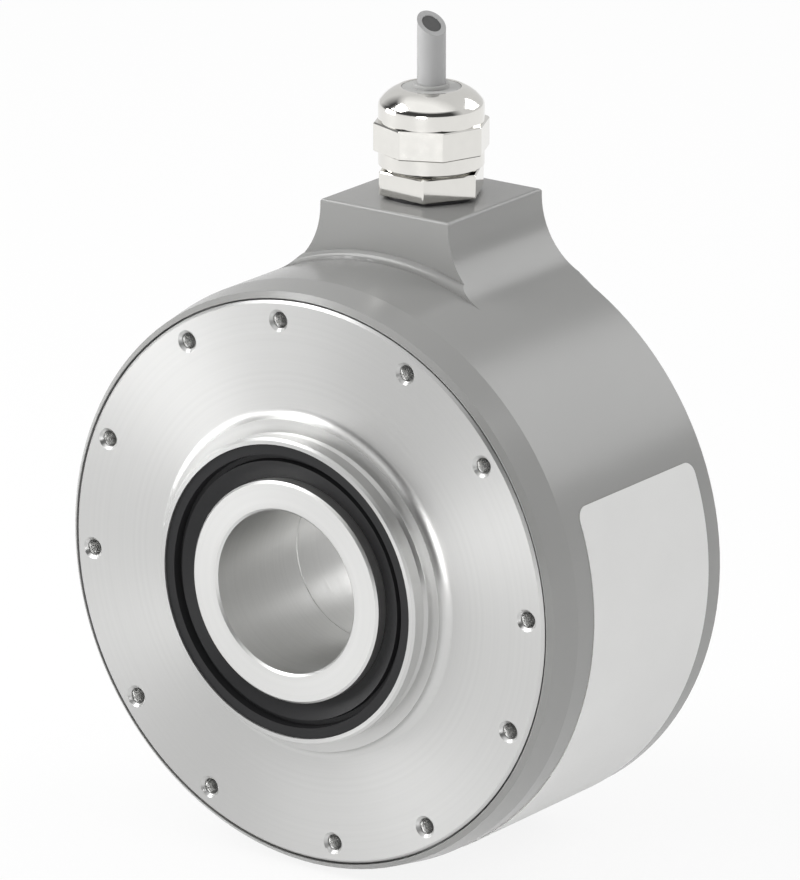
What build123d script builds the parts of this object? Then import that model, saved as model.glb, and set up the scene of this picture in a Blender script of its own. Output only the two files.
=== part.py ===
from build123d import *
import os
from math import atan2, cos, degrees, radians, sin, sqrt

# Incremental rotary encoder with a hollow through shaft, a round housing and a cable gland on top.
# The shaft's axis runs along Y. The origin lies on that axis, in the front face of the flange, and
# the front of the encoder looks towards -Y. The cable gland points up, along +Z. Sizes are in mm.

# housing
housing_r = 45.0
housing_depth = 43.5
housing_wall = 2.7
rear_wall = 5.0
rim_inset = 1.6
rim_setback = 0.3
rim_chamfer = 0.8
rim_taper_end = 6.0
rear_chamfer = 0.8

# saddle that carries the cable gland
saddle_half_width = 11.7
saddle_front = 19.6
saddle_rise = 7.8
saddle_flank_r = 12.0
saddle_edge_r = 0.5
saddle_foot_r = 1.3

# flange and its collar
flange_inset = 2.0
flange_chamfer = 0.4
flange_rim_thickness = 1.7
flange_thickness = 9.0
spigot_clearance = 0.1
gasket_thickness = 0.3
rim_gap = 0.3
collar_reach = 5.0
collar_wall = 0.95
collar_chamfer = 0.35
ledge_r = 25.4
ledge_height = 1.5
ledge_groove = 0.35
collar_fillet = 1.5

# screw holes in the flange
hole_inset = 3.0
thread_core_r = 1.25
thread_depth = 7.0
countersink_r = 1.7
first_hole_angle = 3.0
second_hole_angle = 37.0
hole_step = 60.0
hole_sets = 6

# hollow shaft
bore_r = 12.5
shaft_r = 17.0
shaft_reach = 5.3
shaft_chamfer = 0.35
sleeve_wall = 1.5
sleeve_start = 14.5
seam_chamfer = 0.12
shaft_proud = 0.3
sleeve_proud = 1.0
shaft_shoulder_r = 18.8
shaft_shoulder_width = 0.9
slot_width = 2.0
slot_count = 4
slot_first_angle = 45.0
fit_gap = 0.02
running_gap = 0.03
open_clearance = 0.1

# ball bearings
bearing_bore_r = 17.5
bearing_outer_r = 23.5
bearing_width = 7.0
ball_count = 14
race_gap = 0.05
ring_share = 1 / 3
ball_share = 0.95
cage_wall = 1.2
cage_width = 5.2
bearing_front = 2.5
spacer_wall = 1.3
spring_thickness = 0.8
spring_width = 1.8
retaining_ring_width = 1.2
retaining_ring_depth = 0.9
retaining_ring_reach = 1.5
retaining_ring_mouth = 8.0
carrier_wall = 3.5
carrier_lip = 1.0

# shaft seals
seal_r = 22.5
seal_recess = 0.3
seal_case_width = 1.6
seal_shoulder = 1.5
seal_shoulder_depth = 1.0
seal_groove_depth = 1.4
seal_groove_width = 0.9
seal_draft = 0.2
seal_face_setback = 0.5
lip_setback = 1.6
lip_width = 0.9
lip_root = 1.5
lip_slope = 0.6
seal_case_wall = 2.0

# rear clamp
clamp_outer_r = 25.0
clamp_width = 7.0
clamp_gap = 1.2
clamp_slit = 1.6
clamp_screw_r = 2.0
clamp_screw_half = 9.0
clamp_tip_setback = 0.5
clamp_head_r = 3.1
clamp_head_length = 4.0
clamp_socket_r = 1.7
clamp_socket_depth = 2.0

# posts and screws that hold the housing
board_clearance = 1.5
post_inset = 3.3
post_r = 2.6
post_shoulder_r = 3.6
post_count = 4
post_first_angle = 45.0
post_stud_length = 5.0
screw_r = 1.5
screw_head_r = 2.75
screw_head_length = 3.0
screw_reach = 12.0
screw_tip_gap = 1.0
head_clearance = 0.3
socket_r = 1.25
socket_depth = 1.6

# code disc and the parts that read it
board_gap = 3.5
disc_gap = 4.0
disc_thickness = 1.0
disc_clearance = 0.9
hub_length = 4.6
hub_gap = 3.4
hub_wall = 2.6
hub_flange_thickness = 1.2
clamp_plate_thickness = 1.0
clamp_plate_r = 23.0
small_screw_r = 0.8
small_screw_head_r = 1.45
small_screw_length = 3.0
small_screw_circle_r = 21.3
small_screw_count = 3
board_thickness = 1.6
track_inset = 2.6
head_half_width = 5.0
head_half_height = 3.2
head_step = 0.6
bracket_foot = 2.5
air_gap = 0.5
reticle_thickness = 0.5
detector_thickness = 1.2
lamp_r = 2.2
lamp_length = 3.4
lamp_rounding = 1.3
connector_half_width = 8.0
connector_height = 4.6
connector_lead = 2.0
connector_margin = 0.8
chip_side = 7.0
chip_thickness = 1.3

# cable gland
thread_r = 6.0
thread_length = 6.0
gland_hex_r = 8.4
gland_hex_height = 3.7
gland_hex_turn = -2.6
nut_edge_r = 0.4
nut_chamfer = 0.2
washer_r = 7.0
washer_thickness = 0.5
cap_r = 7.95
cap_gap = 0.3
cap_height = 12.0
cap_foot_chamfer = 0.3
cap_grip_r = 8.85
cap_grip_turn = 2.6
cap_grip_sides = 8
cap_grip_start = 2.45
cap_grip_height = 4.5
cap_dome = 2.45
cap_edge_r = 1.5
cap_top_r = 4.9
cap_thread_gap = 0.05
body_bore_r = 4.0
body_floor = 1.0
body_rise = 4.6
insert_r = 4.5
insert_recess = 0.1
insert_lip_r = 2.65
insert_lip_height = 0.6
finger_wall = 0.8
finger_taper = 2.0
finger_gap = 0.4
finger_slot = 0.8
finger_count = 6

# cable
cable_r = 2.15
core_r = 1.4
cable_tail = 2.8
cable_rise = 26.1
cut_slope_x = 0.609
cut_slope_y = -0.274
core_setback = 0.15
wire_r = 0.45
wire_pitch = 0.62

# foil label on the housing
label_front = 10.0
label_margin = 4.0
label_top_angle = 22.0
label_angle = 87.0
label_thickness = 0.12
label_gap = 0.01
label_corner_r = 2.0

# lengths by which a cutting shape stands proud of what it cuts
overcut = 1.0

# across the shaft, from the housing's radius inwards
housing_bore_r = housing_r - housing_wall
flange_r = housing_r - flange_inset
bolt_circle_r = flange_r - hole_inset
board_r = housing_bore_r - board_clearance
post_circle_r = board_r - post_inset
disc_r = post_circle_r - post_shoulder_r - disc_clearance
head_radius = disc_r - track_inset
board_bore_r = clamp_plate_r + air_gap
carrier_r = bearing_outer_r + carrier_wall
ring_wall = (bearing_outer_r - bearing_bore_r) * ring_share
inner_land_r = bearing_bore_r + ring_wall
outer_land_r = bearing_outer_r - ring_wall
pitch_r = (inner_land_r + outer_land_r) / 2
ball_r = ring_wall * ball_share
clamp_screw_height = (shaft_r + clamp_outer_r) / 2
sleeve_r = bore_r + sleeve_wall
seal_shoulder_r = seal_r - seal_shoulder

# along the shaft, from the housing's depth forwards
rear_wall_inside = housing_depth - rear_wall
board_front = rear_wall_inside - board_gap
disc_front = board_front - disc_gap - disc_thickness
disc_rear = disc_front + disc_thickness
plate_rear = disc_rear + clamp_plate_thickness
bearings_rear = disc_front - hub_length - hub_gap
rear_bearing_front = bearings_rear - bearing_width
front_bearing_rear = bearing_front + bearing_width
ring_groove = bearings_rear + spring_thickness
carrier_rear = ring_groove + retaining_ring_width + carrier_lip
shaft_rear = housing_depth + shaft_proud
clamp_front = shaft_rear + clamp_gap
clamp_rear = clamp_front + clamp_width
sleeve_rear = clamp_rear + sleeve_proud

# up the gland
saddle_top = housing_r + saddle_rise
gland_y = (saddle_front + housing_depth) / 2
gland_base = saddle_top + washer_thickness
gland_hex_top = gland_base + gland_hex_height
cap_base = gland_hex_top + cap_gap
cap_top = cap_base + cap_height
body_top = cap_base + body_rise
seal_floor = gland_base + body_floor
insert_base = seal_floor + body_floor
finger_top = cap_top - cap_dome - finger_gap
insert_top = cap_top - insert_recess
cable_inside = saddle_top - cable_tail
cable_end = saddle_top + cable_rise
connector_top = board_r - connector_margin
connector_base = connector_top - connector_height


def around(angle, radius):
    """The place at this angle and radius round the shaft, as (x, z)."""
    return radius * cos(radians(angle)), radius * sin(radians(angle))


def facing_front(y):
    """The plane across the shaft at this y; its normal looks to the front and its axes are X and Z."""
    return Plane(origin=(0, y, 0), x_dir=(1, 0, 0), z_dir=(0, -1, 0))


def turned(*points, mode=Mode.ADD):
    """Turns a closed outline of (radius, y) points about the shaft's axis."""
    with BuildSketch(Plane.XY) as outline:
        with BuildLine():
            Polyline(*points, close=True)
        make_face()
    revolve(outline.sketch, axis=Axis.Y, mode=mode)


def tube(inner, outer, front, rear, mode=Mode.ADD):
    """A plain ring about the shaft's axis."""
    turned((inner, front), (outer, front), (outer, rear), (inner, rear), mode=mode)


def rods(radius, front, rear, places, mode=Mode.ADD):
    """Round bars along Y, one at each (x, z) place."""
    with BuildSketch(facing_front(front)) as ends:
        with Locations(*places):
            Circle(radius)
    extrude(ends.sketch, amount=front - rear, mode=mode)


def block(x_half, z_low, z_high, front, rear, mode=Mode.ADD):
    """A block across the middle plane, between two heights and two depths."""
    with BuildSketch(facing_front(front)) as face:
        with Locations((0, (z_low + z_high) / 2)):
            Rectangle(2 * x_half, z_high - z_low)
    extrude(face.sketch, amount=front - rear, mode=mode)


def stacked(*points, mode=Mode.ADD):
    """Turns a closed outline of (radius, z) points about the gland's upright axis."""
    with BuildSketch(Plane.XZ.offset(-gland_y)) as outline:
        with BuildLine():
            Polyline(*points, close=True)
        make_face()
    revolve(outline.sketch, axis=Axis((0, gland_y, 0), (0, 0, 1)), mode=mode)


def nut(part, corner_r, sides, low, high, turn):
    """An upright bar for a spanner on the gland's axis, with rounded corners and eased rims."""
    with BuildSketch(Plane.XY.offset(low)) as outline:
        with Locations((0, gland_y)):
            RegularPolygon(corner_r, sides, rotation=turn)
        fillet(outline.vertices(), nut_edge_r)
    extrude(outline.sketch, amount=high - low)
    ends = part.faces().filter_by(Axis.Z)
    chamfer(ends.edges(), nut_chamfer)


hole_places = [
    around(start + step * hole_step, bolt_circle_r)
    for start in (first_hole_angle, second_hole_angle)
    for step in range(hole_sets)
]
post_places = [around(post_first_angle + 360 / post_count * n, post_circle_r) for n in range(post_count)]

# the flange is one turned piece: face, collar for the front seal and carrier for both bearings
with BuildPart() as front_flange:
    collar_r = seal_r + collar_wall
    with BuildSketch(Plane.XY) as flange_outline:
        with BuildLine():
            Polyline(
                (ledge_r + collar_fillet, 0),
                (flange_r - flange_chamfer, 0),
                (flange_r, flange_chamfer),
                (flange_r, flange_rim_thickness),
                (housing_bore_r - spigot_clearance, flange_rim_thickness),
                (housing_bore_r - spigot_clearance, flange_thickness),
                (carrier_r, flange_thickness),
                (carrier_r, carrier_rear),
                (bearing_outer_r, carrier_rear),
                (bearing_outer_r, bearing_front),
                (seal_shoulder_r, bearing_front),
                (seal_shoulder_r, bearing_front - seal_shoulder_depth),
                (seal_r, bearing_front - seal_shoulder_depth),
                (seal_r, -collar_reach),
                (collar_r - collar_chamfer, -collar_reach),
                (collar_r, -collar_reach + collar_chamfer),
                (collar_r, -collar_fillet - ledge_groove - ledge_height / 2),
                (collar_r - ledge_groove, -collar_fillet - ledge_height / 2),
                (collar_r, -collar_fillet),
                (ledge_r, -collar_fillet),
            )
            RadiusArc((ledge_r, -collar_fillet), (ledge_r + collar_fillet, 0), collar_fillet)
        make_face()
    revolve(axis=Axis.Y)
    tube(bearing_outer_r - open_clearance, bearing_outer_r + retaining_ring_depth, ring_groove,
         ring_groove + retaining_ring_width, mode=Mode.SUBTRACT)
    with BuildSketch(facing_front(0)) as hole_mouths:
        with Locations(*hole_places):
            Circle(countersink_r)
    countersink_depth = countersink_r - thread_core_r
    rods(thread_core_r, 0, thread_depth, hole_places, mode=Mode.SUBTRACT)
    extrude(hole_mouths.sketch, amount=-countersink_depth, taper=45, mode=Mode.SUBTRACT)
    rods(screw_r + fit_gap, flange_thickness - post_stud_length, flange_thickness, post_places,
         mode=Mode.SUBTRACT)
front_flange.part.label = "front_flange"

# front view of the saddle: a flat top, upright sides and hollow flanks that run into the round body
with BuildSketch(facing_front(saddle_front)) as saddle_outline:
    flank_x = saddle_half_width + saddle_flank_r
    flank_z = sqrt((housing_r + saddle_flank_r) ** 2 - flank_x**2)
    flank_turn = degrees(atan2(flank_z, flank_x))
    with BuildLine():
        top = Line((0, saddle_top), (saddle_half_width, saddle_top))
        side = Line(top @ 1, (saddle_half_width, flank_z))
        flank = CenterArc((flank_x, flank_z), saddle_flank_r, 180, flank_turn)
        Line(flank @ 1, (0, housing_bore_r))
        Line((0, housing_bore_r), top @ 0)
    make_face()
    mirror(about=Plane.YZ)

# hollow rounding at the foot of the saddle's front face
with BuildPart() as saddle_foot:
    foot_front = saddle_front - saddle_foot_r
    with BuildSketch(Plane.XY) as foot_outline:
        with BuildLine():
            Polyline((housing_r, foot_front), (housing_bore_r, foot_front), (housing_bore_r, saddle_front),
                     (housing_r + saddle_foot_r, saddle_front))
            RadiusArc((housing_r + saddle_foot_r, saddle_front), (housing_r, foot_front), saddle_foot_r)
        make_face()
    revolve(foot_outline.sketch, axis=Axis.Y)
    extrude(saddle_outline.sketch, amount=saddle_foot_r, mode=Mode.INTERSECT)

# the painted housing: a pot with a rear wall, and the saddle for the gland on top
with BuildPart() as housing:
    rim_r = housing_r - rim_inset
    turned(
        (0, rim_setback),
        (rim_r, rim_setback),
        (rim_r + rim_chamfer, rim_setback + rim_chamfer),
        (housing_r, rim_taper_end),
        (housing_r, housing_depth - rear_chamfer),
        (housing_r - rear_chamfer, housing_depth),
        (0, housing_depth),
    )
    extrude(saddle_outline.sketch, amount=saddle_front - housing_depth)
    fillet(housing.faces().sort_by(Axis.Z)[-1].edges(), saddle_edge_r)
    add(saddle_foot.part)
    mouth_r = flange_r + rim_gap
    step_y = flange_rim_thickness + gasket_thickness
    turned((0, -overcut), (mouth_r, -overcut), (mouth_r, step_y), (housing_bore_r, step_y),
           (housing_bore_r, rear_wall_inside), (0, rear_wall_inside), mode=Mode.SUBTRACT)
    tube(0, seal_shoulder_r, rear_wall_inside - overcut, housing_depth + overcut, mode=Mode.SUBTRACT)
    tube(0, seal_r, rear_wall_inside + seal_shoulder_depth, housing_depth + overcut, mode=Mode.SUBTRACT)
    head_seat = housing_depth - screw_head_length - head_clearance
    rods(screw_r + head_clearance, rear_wall_inside - overcut, housing_depth, post_places, mode=Mode.SUBTRACT)
    rods(screw_head_r + head_clearance, head_seat, housing_depth + overcut, post_places, mode=Mode.SUBTRACT)
    hole_low = housing_bore_r - thread_r
    hole_high = saddle_top + overcut
    stacked((0, hole_low), (thread_r, hole_low), (thread_r, hole_high), (0, hole_high), mode=Mode.SUBTRACT)
housing.part.label = "housing"

with BuildPart() as flange_gasket:
    tube(housing_bore_r + fit_gap, flange_r, flange_rim_thickness, flange_rim_thickness + gasket_thickness)
flange_gasket.part.label = "flange_gasket"

# pillars between the flange and the rear wall; their shoulder carries the board
with BuildPart() as flange_posts:
    rods(post_shoulder_r, flange_thickness, board_front, post_places)
    rods(post_r, board_front, rear_wall_inside, post_places)
    rods(screw_r, flange_thickness - post_stud_length + fit_gap, flange_thickness, post_places)
    rods(screw_r + fit_gap, rear_wall_inside - screw_reach, rear_wall_inside, post_places, mode=Mode.SUBTRACT)
flange_posts.part.label = "flange_posts"

with BuildPart() as housing_screws:
    rods(screw_r, rear_wall_inside - screw_reach + screw_tip_gap, head_seat, post_places)
    rods(screw_head_r, head_seat, head_seat + screw_head_length, post_places)
    with BuildSketch(facing_front(head_seat + screw_head_length)) as sockets:
        with Locations(*post_places):
            RegularPolygon(socket_r, 6)
    extrude(sockets.sketch, amount=socket_depth, mode=Mode.SUBTRACT)
housing_screws.part.label = "housing_screws"


def lip_seal(face, back, inwards):
    """A rubber lip seal: outer case, ring groove and an inner zone that slopes in to the shaft."""
    case_inner = seal_r - seal_case_width
    lip_outer = case_inner - seal_groove_width
    lip_r = shaft_r + running_gap
    groove_floor = face + inwards * seal_groove_depth
    lip_face = face + inwards * lip_setback
    lip_back = lip_face + inwards * lip_width
    root_back = lip_back + inwards * lip_slope
    turned(
        (seal_r - fit_gap, face),
        (case_inner, face),
        (case_inner - seal_draft, groove_floor),
        (lip_outer, groove_floor),
        (lip_outer - seal_draft, face + inwards * seal_face_setback),
        (lip_r, lip_face),
        (lip_r, lip_back),
        (lip_r + lip_root, root_back),
        (seal_r - seal_case_wall, root_back),
        (seal_r - seal_case_wall, back),
        (seal_r - fit_gap, back),
    )


with BuildPart() as front_shaft_seal:
    lip_seal(-collar_reach + seal_recess, bearing_front - seal_shoulder_depth, 1)
front_shaft_seal.part.label = "front_shaft_seal"

with BuildPart() as rear_shaft_seal:
    lip_seal(housing_depth - seal_recess, rear_wall_inside + seal_shoulder_depth, -1)
rear_shaft_seal.part.label = "rear_shaft_seal"

# hollow shaft: seal seat, shoulder, bearing seats and the seat of the disc hub
with BuildPart() as hollow_shaft:
    turned(
        (bore_r + shaft_chamfer, -shaft_reach),
        (shaft_r - shaft_chamfer, -shaft_reach),
        (shaft_r, -shaft_reach + shaft_chamfer),
        (shaft_r, bearing_front - shaft_shoulder_width),
        (shaft_shoulder_r, bearing_front - shaft_shoulder_width),
        (shaft_shoulder_r, bearing_front),
        (bearing_bore_r, bearing_front),
        (bearing_bore_r, bearings_rear),
        (bearing_bore_r - retaining_ring_depth, bearings_rear),
        (bearing_bore_r - retaining_ring_depth, bearings_rear + retaining_ring_width),
        (bearing_bore_r, bearings_rear + retaining_ring_width),
        (bearing_bore_r, plate_rear),
        (shaft_r, plate_rear),
        (shaft_r, shaft_rear),
        (sleeve_r + fit_gap, shaft_rear),
        (sleeve_r + fit_gap, sleeve_start),
        (bore_r + seam_chamfer, sleeve_start),
        (bore_r, sleeve_start - seam_chamfer),
        (bore_r, -shaft_reach + shaft_chamfer),
    )
hollow_shaft.part.label = "hollow_shaft"

# sleeve in the rear of the bore; its slotted end is what the clamp ring squeezes
with BuildPart() as clamp_sleeve:
    turned(
        (bore_r, sleeve_start + seam_chamfer),
        (bore_r + seam_chamfer, sleeve_start),
        (sleeve_r, sleeve_start),
        (sleeve_r, shaft_rear),
        (shaft_r, shaft_rear),
        (shaft_r, sleeve_rear - shaft_chamfer),
        (shaft_r - shaft_chamfer, sleeve_rear),
        (bore_r + shaft_chamfer, sleeve_rear),
        (bore_r, sleeve_rear - shaft_chamfer),
    )
    with BuildSketch(facing_front(clamp_front)) as slots:
        with PolarLocations((bore_r + shaft_r) / 2, slot_count, start_angle=slot_first_angle):
            Rectangle(3 * (shaft_r - bore_r), slot_width)
    extrude(slots.sketch, amount=-(sleeve_rear - shaft_rear), mode=Mode.SUBTRACT)
clamp_sleeve.part.label = "clamp_sleeve"

# slit ring that grips the sleeve, with a screw across its slit
with BuildPart() as clamp_ring:
    tube(shaft_r + fit_gap, clamp_outer_r, clamp_front, clamp_rear)
    block(clamp_slit / 2, shaft_r - overcut, clamp_outer_r + overcut, clamp_front - overcut,
          clamp_rear + overcut, mode=Mode.SUBTRACT)
    screw_y = (clamp_front + clamp_rear) / 2
    with BuildSketch(Plane.YZ.offset(-clamp_outer_r)) as screw_hole:
        with Locations((screw_y, clamp_screw_height)):
            Circle(clamp_screw_r + fit_gap)
    extrude(screw_hole.sketch, amount=clamp_outer_r + clamp_screw_half, mode=Mode.SUBTRACT)
    with BuildSketch(Plane.YZ.offset(-clamp_screw_half)) as head_hole:
        with Locations((screw_y, clamp_screw_height)):
            Circle(clamp_head_r + open_clearance)
    extrude(head_hole.sketch, amount=-clamp_outer_r, mode=Mode.SUBTRACT)
clamp_ring.part.label = "clamp_ring"

with BuildPart() as clamp_screw:
    with BuildSketch(Plane.YZ.offset(-clamp_screw_half)) as shank:
        with Locations((screw_y, clamp_screw_height)):
            Circle(clamp_screw_r)
    extrude(shank.sketch, amount=2 * clamp_screw_half - clamp_tip_setback)
    with BuildSketch(Plane.YZ.offset(-clamp_screw_half)) as head:
        with Locations((screw_y, clamp_screw_height)):
            Circle(clamp_head_r)
    extrude(head.sketch, amount=-clamp_head_length)
    with BuildSketch(Plane.YZ.offset(-clamp_screw_half - clamp_head_length)) as hex_socket:
        with Locations((screw_y, clamp_screw_height)):
            RegularPolygon(clamp_socket_r, 6)
    extrude(hex_socket.sketch, amount=clamp_socket_depth, mode=Mode.SUBTRACT)
clamp_screw.part.label = "clamp_screw"


def outer_ring(front):
    """The bearing's outer ring, with its race."""
    tube(outer_land_r, bearing_outer_r - fit_gap, front, front + bearing_width)
    with BuildSketch(Plane.XY) as race:
        with Locations((pitch_r, front + bearing_width / 2)):
            Circle(ball_r + race_gap)
    revolve(race.sketch, axis=Axis.Y, mode=Mode.SUBTRACT)


def inner_ring(front):
    """The bearing's inner ring, with its race."""
    tube(bearing_bore_r + fit_gap, inner_land_r, front, front + bearing_width)
    with BuildSketch(Plane.XY) as race:
        with Locations((pitch_r, front + bearing_width / 2)):
            Circle(ball_r + race_gap)
    revolve(race.sketch, axis=Axis.Y, mode=Mode.SUBTRACT)


def ball_places(front):
    """The centres of the balls in one bearing."""
    middle = front + bearing_width / 2
    turns = [360 / ball_count * n for n in range(ball_count)]
    return [(around(turn, pitch_r)[0], middle, around(turn, pitch_r)[1]) for turn in turns]


def cage(front):
    """The ring that keeps the balls apart, with one round pocket for each."""
    middle = front + bearing_width / 2
    tube(pitch_r - cage_wall / 2, pitch_r + cage_wall / 2, middle - cage_width / 2, middle + cage_width / 2)
    outwards = [Plane(origin=(0, middle, 0), z_dir=(x, 0, z)) for x, _, z in ball_places(front)]
    with BuildSketch(*outwards) as pockets:
        Circle(ball_r + race_gap)
    extrude(pockets.sketch, amount=outer_land_r, mode=Mode.SUBTRACT)


bearing_parts = []
for position, front in (("front", bearing_front), ("rear", rear_bearing_front)):
    with BuildPart() as ring_out:
        outer_ring(front)
    ring_out.part.label = f"{position}_bearing_outer_ring"
    with BuildPart() as ring_in:
        inner_ring(front)
    ring_in.part.label = f"{position}_bearing_inner_ring"
    with BuildPart() as balls:
        with Locations(*ball_places(front)):
            Sphere(ball_r)
    balls.part.label = f"{position}_bearing_balls"
    with BuildPart() as ball_cage:
        cage(front)
    ball_cage.part.label = f"{position}_bearing_cage"
    bearing_parts += [ring_out.part, ring_in.part, balls.part, ball_cage.part]

with BuildPart() as bearing_outer_spacer:
    tube(bearing_outer_r - spacer_wall, bearing_outer_r - fit_gap, front_bearing_rear, rear_bearing_front)
bearing_outer_spacer.part.label = "bearing_outer_spacer"

with BuildPart() as bearing_inner_spacer:
    tube(bearing_bore_r + fit_gap, bearing_bore_r + spacer_wall, front_bearing_rear, rear_bearing_front)
bearing_inner_spacer.part.label = "bearing_inner_spacer"

with BuildPart() as preload_spring:
    tube(bearing_outer_r - spring_width, bearing_outer_r - fit_gap, bearings_rear, ring_groove)
preload_spring.part.label = "preload_spring"

with BuildPart() as bearing_retaining_ring:
    ring_rear = ring_groove + retaining_ring_width
    tube(bearing_outer_r - retaining_ring_reach, bearing_outer_r + retaining_ring_depth - fit_gap,
         ring_groove, ring_rear)
    block(retaining_ring_mouth / 2, inner_land_r, carrier_r, ring_groove, ring_rear, mode=Mode.SUBTRACT)
bearing_retaining_ring.part.label = "bearing_retaining_ring"

with BuildPart() as shaft_retaining_ring:
    snap_rear = bearings_rear + retaining_ring_width
    tube(bearing_bore_r - retaining_ring_depth + fit_gap, bearing_bore_r + retaining_ring_reach,
         bearings_rear, snap_rear)
    block(retaining_ring_mouth / 2, sleeve_r, outer_land_r, bearings_rear, snap_rear, mode=Mode.SUBTRACT)
shaft_retaining_ring.part.label = "shaft_retaining_ring"

# the disc with the measuring track, between its hub and a clamping plate
screw_places = [
    around(90 + 360 / small_screw_count * n, small_screw_circle_r) for n in range(small_screw_count)
]
hub_inner_r = bearing_bore_r + fit_gap
with BuildPart() as disc_hub:
    turned(
        (hub_inner_r, disc_front - hub_length),
        (bearing_bore_r + hub_wall, disc_front - hub_length),
        (bearing_bore_r + hub_wall, disc_front - hub_flange_thickness),
        (clamp_plate_r, disc_front - hub_flange_thickness),
        (clamp_plate_r, disc_front),
        (hub_inner_r, disc_front),
    )
    rods(small_screw_r + fit_gap, disc_front - hub_length, disc_front, screw_places, mode=Mode.SUBTRACT)
disc_hub.part.label = "disc_hub"

with BuildPart() as code_disc:
    tube(hub_inner_r, disc_r, disc_front, disc_rear)
    rods(small_screw_r + open_clearance, disc_front, disc_rear, screw_places, mode=Mode.SUBTRACT)
code_disc.part.label = "code_disc"

with BuildPart() as disc_clamp_plate:
    tube(hub_inner_r, clamp_plate_r, disc_rear, plate_rear)
    rods(small_screw_r + fit_gap, disc_rear, plate_rear, screw_places, mode=Mode.SUBTRACT)
disc_clamp_plate.part.label = "disc_clamp_plate"

with BuildPart() as disc_screws:
    rods(small_screw_r, plate_rear - small_screw_length, plate_rear, screw_places)
    rods(small_screw_head_r, plate_rear, plate_rear + small_screw_r, screw_places)
disc_screws.part.label = "disc_screws"

# the reading head under the shaft: lamp in front of the disc, reticle and detector behind it
head_low = -head_radius - head_half_height
head_high = -head_radius + head_half_height
lamp_rear = disc_front - air_gap
lamp_front = lamp_rear - lamp_length
with BuildPart() as lamp_bracket:
    block(head_half_width, head_low, -carrier_r + bracket_foot, carrier_rear, lamp_front)
lamp_bracket.part.label = "lamp_bracket"

with BuildPart() as led_lamp:
    with BuildSketch(facing_front(lamp_front)) as lamp_foot:
        with Locations((0, -head_radius)):
            Circle(lamp_r)
    extrude(lamp_foot.sketch, amount=-lamp_length)
    fillet(led_lamp.faces().sort_by(Axis.Y)[-1].edges(), lamp_rounding)
led_lamp.part.label = "led_lamp"

reticle_front = disc_rear + air_gap
detector_front = reticle_front + reticle_thickness
detector_rear = detector_front + detector_thickness
window_half = head_half_width - head_step
window_low = head_low + head_step
window_high = head_high - head_step
with BuildPart() as reticle:
    block(window_half, window_low, window_high, reticle_front, detector_front)
reticle.part.label = "reticle"

with BuildPart() as detector_chip:
    block(window_half, window_low, window_high, detector_front, detector_rear)
detector_chip.part.label = "detector_chip"

with BuildPart() as detector_carrier:
    block(head_half_width, head_low, head_high, detector_rear, board_front)
detector_carrier.part.label = "detector_carrier"

board_rear = board_front + board_thickness
with BuildPart() as sensor_board:
    tube(board_bore_r, board_r, board_front, board_rear)
    rods(post_r + open_clearance, board_front, board_rear, post_places, mode=Mode.SUBTRACT)
sensor_board.part.label = "sensor_board"

with BuildPart() as board_spacers:
    rods(post_shoulder_r, board_rear, rear_wall_inside, post_places)
    rods(post_r + open_clearance, board_rear, rear_wall_inside, post_places, mode=Mode.SUBTRACT)
board_spacers.part.label = "board_spacers"

with BuildPart() as interface_chip:
    with BuildSketch(facing_front(board_front)) as chip_face:
        with Locations((-head_radius, 0)):
            Rectangle(chip_side, chip_side)
    extrude(chip_face.sketch, amount=chip_thickness)
interface_chip.part.label = "interface_chip"

with BuildPart() as cable_connector:
    block(connector_half_width, connector_base, connector_top, gland_y - connector_lead, board_front)
cable_connector.part.label = "cable_connector"

# cable gland: washer, body with hexagon, clamping fingers, rubber insert and cap nut
with BuildPart() as gland_washer:
    washer_bore_r = thread_r + open_clearance
    stacked((washer_bore_r, saddle_top), (washer_r, saddle_top), (washer_r, gland_base),
            (washer_bore_r, gland_base))
gland_washer.part.label = "gland_washer"

finger_r = insert_r + finger_wall
thread_end = saddle_top - thread_length
with BuildPart() as gland_body:
    nut(gland_body, gland_hex_r, 6, gland_base, gland_hex_top, gland_hex_turn)
    stacked((0, thread_end), (thread_r - fit_gap, thread_end), (thread_r - fit_gap, seal_floor),
            (thread_r, seal_floor), (thread_r, body_top), (0, body_top))
    seat_r = finger_r + fit_gap
    stacked((0, thread_end - overcut), (body_bore_r, thread_end - overcut), (body_bore_r, seal_floor),
            (seat_r, seal_floor), (seat_r, body_top + overcut), (0, body_top + overcut), mode=Mode.SUBTRACT)
gland_body.part.label = "gland_body"

with BuildPart() as gland_fingers:
    stacked((insert_r, seal_floor), (finger_r, seal_floor), (finger_r, finger_top - finger_taper),
            (insert_r + finger_wall / 2, finger_top), (insert_r, finger_top))
    with BuildSketch(Plane.XY.offset(body_top)) as finger_gaps:
        with Locations((0, gland_y)):
            with PolarLocations(insert_r + finger_wall / 2, finger_count):
                Rectangle(3 * finger_wall, finger_slot)
    extrude(finger_gaps.sketch, amount=cap_height, mode=Mode.SUBTRACT)
gland_fingers.part.label = "gland_fingers"

with BuildPart() as gland_insert:
    insert_bore_r = cable_r + fit_gap
    lip_top = insert_top + insert_lip_height
    stacked((insert_bore_r, insert_base), (insert_r - fit_gap, insert_base), (insert_r - fit_gap, insert_top),
            (insert_lip_r, insert_top), (insert_lip_r, lip_top), (insert_bore_r, lip_top))
gland_insert.part.label = "gland_insert"

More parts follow.
